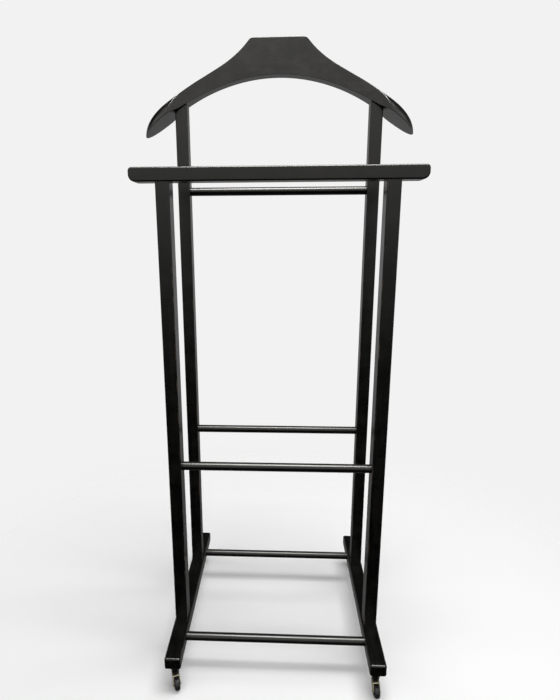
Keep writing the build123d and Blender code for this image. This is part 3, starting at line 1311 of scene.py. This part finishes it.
    def axle(self) -> bpy.types.Object:
        """The axle rivet, with a domed head outside each arm.

        Returns:
            The model, in its place.
        """
        outer, pin, head, rise = self.arm_gap / 2 + self.sheet, self.pin, self.head, self.head_rise
        upper = [(pin, outer - 0.01 * MM), (head, outer), (head, outer + 0.3 * MM),
                 (head - 0.2 * MM, outer + 0.6 * MM), (head - 0.65 * MM, outer + 0.87 * MM),
                 (head - 1.4 * MM, outer + rise - 0.06 * MM), (0.0, outer + rise)]
        lower = [(radius, -height) for radius, height in reversed(upper)]
        made = Workpiece.turned("axle_model", [*lower, *upper], self.sides // 2).finish(smooth_angle=45.0)
        made.data.transform(self.axle_place())
        return made

    def fork(self, corner: Corner) -> bpy.types.Object:
        """The folded fork, with a bend radius along its folds and softened sheet edges.

        Args:
            corner: The corner whose CAD node is copied.

        Returns:
            The model, under a stem at the origin.
        """
        piece = Workpiece.copy_of_node(
            "fork_model", f"caster_fork_{corner.name}", corner.place.inverted())
        outer, slack = self.arm_gap / 2 + self.sheet, 0.05 * MM
        top = max(point.co.z for point in bmesh.from_edit_mesh(piece.obj.data).verts)
        piece.pick(Part.EDGE, lambda m, d: max(abs(m.z - top), abs(abs(m.y) - outer)) < slack)
        piece.bevel(self.fold, segments=4)
        piece.modify("BEVEL", width=self.sheet_edge, segments=2, limit_method="ANGLE",
                     angle_limit=math.radians(50), harden_normals=False)
        return piece.finish(smooth_angle=32.0)

    def build(self) -> Iterator[bpy.types.Object]:
        """Models each piece once and sets a copy at every corner.

        Returns:
            The placed pieces, one after another.
        """
        corners = Corner.from_joints()
        models = {
            "hood": (self.hood(), self.wood, "lacquer", "frame"),
            "fork": (self.fork(corners[0]), self.brass, "brass_plate", "caster_{}"),
            "axle": (self.axle(), self.brass, "brass_plate", "caster_{}"),
            "wheel": (self.wheel(), self.plastic, "wheel_plastic", "wheel_{}"),
        }
        for kind, (model, finish, slot, body) in models.items():
            for corner in corners:
                made = placed_copy(model, f"{kind}_{corner.name}", corner.place)
                dress(made, finish)
                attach(made, body.format(corner.name))
                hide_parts(f"caster_{kind}_{corner.name}")
                yield made
            bpy.data.objects.remove(model)


# ------------------------------------------------------------------------------ the frame


@dataclass
class Framework:
    """The CAD nodes that keep their own meshes: posts, skids, rails and their fixings.

    Args:
        rubbed: How far the lacquer is rubbed through along the squared edges, 0 to 1.
        front_rubbed: The same on the front posts, which are handled most.
    """

    rubbed: float = 0.55
    front_rubbed: float = 0.77

    def finishes(self) -> dict[str, bpy.types.Material]:
        """Makes the finishes of the kept nodes.

        Returns:
            Each material, by a word that only its own nodes' names hold.
        """
        front = SquareEdges.of_node("front_post_right", Axis.X, Axis.Y)
        rear = SquareEdges.of_node("rear_post_right", Axis.X, Axis.Y)
        skids = SquareEdges.of_node("skid_right", Axis.X, Axis.Z)
        steel = PlatedMetal(
            "zinc_plated_steel", bright=(0.62, 0.63, 0.64), dull=(0.34, 0.34, 0.33), roughness=0.24,
            tarnish=0.3).make()
        return {
            "front_post": Lacquer("lacquer_front_posts", Axis.Z, front, self.front_rubbed).make(),
            "rear_post": Lacquer("lacquer_rear_posts", Axis.Z, rear, self.rubbed).make(),
            "skid": Lacquer("lacquer_skid_grain", Axis.Y, skids, self.rubbed, gloss=0.12).make(),
            "rail": Lacquer("lacquer_round_rails", Axis.X, gloss=0.20).make(),
            "screws": steel, "sleeve": steel, "stem": steel,
            "bar_dowels": BareBeech("bare_beech").make(),
            "hanger_dowels": BareBeech("bare_beech_hanger").make(),
        }

    def dress_nodes(self) -> Iterator[str]:
        """Dresses the kept nodes.

        Returns:
            The name of each dressed node, one after another.
        """
        finishes = self.finishes()
        for name, node in sorted(frame["nodes"].items()):
            if node.hide_render:
                continue
            word = next(key for key in finishes if key in name)
            dress(node, finishes[word])
            yield name


# ------------------------------------------------------------------------------ the studio


@dataclass
class Studio:
    """A pale floor that runs out into a pale background, soft light from above and the camera.

    Args:
        eye: Where the camera stands.
        yaw: Its turn to the right of straight ahead, in radians.
        pitch: Its tilt downwards.
        roll: Its turn about the line of sight.
        sensor: Width of the camera's sensor, in millimetres.
        focal_share: Focal length over the picture's long side.
        shift: How far the picture is shifted, in shares of its long side.
        background: Brightness of the background.
        key_place: Where the key light hangs.
        key_size: Its length from left to right and its width.
        key_power: Its power in watts.
        strip_place: Where the strip hangs that only the lacquer's edges mirror.
        strip_size: Its length from left to right and its width.
        strip_power: Its power in watts.
        floor_radius: Radius of the floor, in metres.
        paper: The floor's finish.
    """

    eye: Vector = Vector((6.0, -894.6, 773.6)) * MM
    yaw: float = -0.0468
    pitch: float = 0.2313
    roll: float = 0.0044
    sensor: float = 36.0
    focal_share: float = 500 / 700
    shift: tuple[float, float] = (0.0326, 0.0076)
    background: float = 0.888
    key_place: Vector = Vector((0.40, -0.05, 2.60))
    key_size: tuple[float, float] = (1.6, 0.8)
    key_power: float = 42.0
    strip_place: Vector = Vector((0.0, -0.52, 2.40))
    strip_size: tuple[float, float] = (1.0, 0.36)
    strip_power: float = 64.0
    floor_radius: float = 2.2
    paper: StudioPaper = StudioPaper("pale_paper", shade=0.92, solid=0.35, gone=1.0)

    def floor(self) -> bpy.types.Object:
        """The round paper floor, under the wheels.

        Returns:
            The floor.
        """
        Workpiece.clear_bench()
        bpy.ops.mesh.primitive_circle_add(vertices=96, radius=self.floor_radius, fill_type="NGON")
        made = bpy.context.object
        made.name = made.data.name = "paper_floor"
        dress(made, self.paper.make())
        made.visible_glossy = False
        made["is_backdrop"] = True
        return made

    def surroundings(self) -> None:
        """The background: even and pale to the eye, brighter overhead and dim low in front."""
        world = bpy.data.worlds.new("studio")
        bpy.context.scene.world = world
        world.use_nodes = True
        graph = Graph(world.node_tree)
        _, ahead, up = graph.split(graph.node("ShaderNodeTexCoord", output="Generated"))
        in_front = 1.0 - ahead.ramp(-0.35, 0.25)
        front_light = up.ramp(-0.30, 0.60) * 1.6 - up.ramp(0.42, 0.80) * 0.8
        back_light = up.ramp(-0.55, 0.0) * 0.27 - up.ramp(0.10, 0.50) * 0.42 + 0.17
        light = in_front * front_light + (1.0 - in_front) * back_light
        seen = graph.node("ShaderNodeLightPath", output="Is Camera Ray")
        tone = light * (1.0 - seen) + seen * self.background
        out = graph.node("ShaderNodeBackground", None, {"Color": (1, 1, 1, 1), "Strength": tone})
        graph.node("ShaderNodeOutputWorld", None, {"Surface": out})

    def lamp(self, name: str, place: Vector, size: tuple[float, float], power: float) -> bpy.types.Object:
        """A flat rectangular light that hangs overhead and shines straight down.

        Args:
            name: The light's name.
            place: Where it hangs.
            size: Its length from left to right and its width.
            power: Its power in watts.

        Returns:
            The light.
        """
        lamp = bpy.data.lights.new(name, "AREA")
        lamp.shape = "RECTANGLE"
        lamp.size, lamp.size_y = size
        lamp.energy = power
        made = bpy.data.objects.new(name, lamp)
        bpy.context.scene.collection.objects.link(made)
        made.location = place
        return made

    def lights(self) -> None:
        """The soft key overhead, and a strip that shows only as a glint along rounded edges."""
        self.lamp("soft_key", self.key_place, self.key_size, self.key_power)
        strip = self.lamp("edge_strip", self.strip_place, self.strip_size, self.strip_power)
        strip.visible_diffuse = False

    def camera(self) -> bpy.types.Object:
        """The camera at its viewing angle.

        Returns:
            The camera.
        """
        lens = bpy.data.cameras.new("camera")
        lens.sensor_width = self.sensor
        lens.lens = self.sensor * self.focal_share
        lens.shift_x, lens.shift_y = self.shift
        made = bpy.data.objects.new("camera", lens)
        bpy.context.scene.collection.objects.link(made)
        place = Matrix.Translation(self.eye)
        for angle, axis in ((-self.yaw, "Z"), (math.pi / 2 - self.pitch, "X"), (-self.roll, "Z")):
            place @= Matrix.Rotation(angle, 4, axis)
        made.matrix_world = place
        bpy.context.scene.camera = made
        return made

    def build(self) -> None:
        """Sets up floor, background, lights and camera."""
        self.floor()
        self.surroundings()
        self.lights()
        self.camera()
        bpy.context.scene.view_settings.view_transform = "Standard"


def write_sizes() -> None:
    """Works out the CAD model's box and the visual model's box side by side; they are not written anywhere."""
    boxes = {"cad": CAD_BOX, "visual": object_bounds()}
    plain = {name: [list(corner) for corner in corners] for name, corners in boxes.items()}


def main() -> None:
    """Builds the stand piece by piece, then the studio round it."""
    logging.basicConfig(level=logging.INFO, format="%(name)s: %(message)s")
    board = Lacquer("lacquer_board_grain", Axis.X, gloss=0.06, dust=0.26, relief=0.14).make()
    LOG.info("hanger: %s", Hanger(board).build().name)
    bar_edges = SquareEdges.of_node("trouser_bar", Axis.Y, Axis.Z)
    bar_finish = Lacquer("lacquer_bar_grain", Axis.X, bar_edges, rubbed=0.4, gloss=0.18).make()
    LOG.info("bar: %s", TrouserBar(bar_finish).build().name)
    casters = Casters(
        wood=Lacquer("lacquer_turned_hoods", Axis.Z, gloss=0.20).make(),
        brass=PlatedMetal(
            "aged_brass_plate", bright=(0.62, 0.56, 0.40), dull=(0.26, 0.20, 0.11), roughness=0.22,
            tarnish=0.5).make(),
        plastic=MouldedPlastic("black_wheel_plastic").make())
    for piece in casters.build():
        LOG.info("caster: %s", piece.name)
    for name in Framework().dress_nodes():
        LOG.info("dressed: %s", name)
    Studio().build()
    write_sizes()


if __name__ == "__main__":
    main()
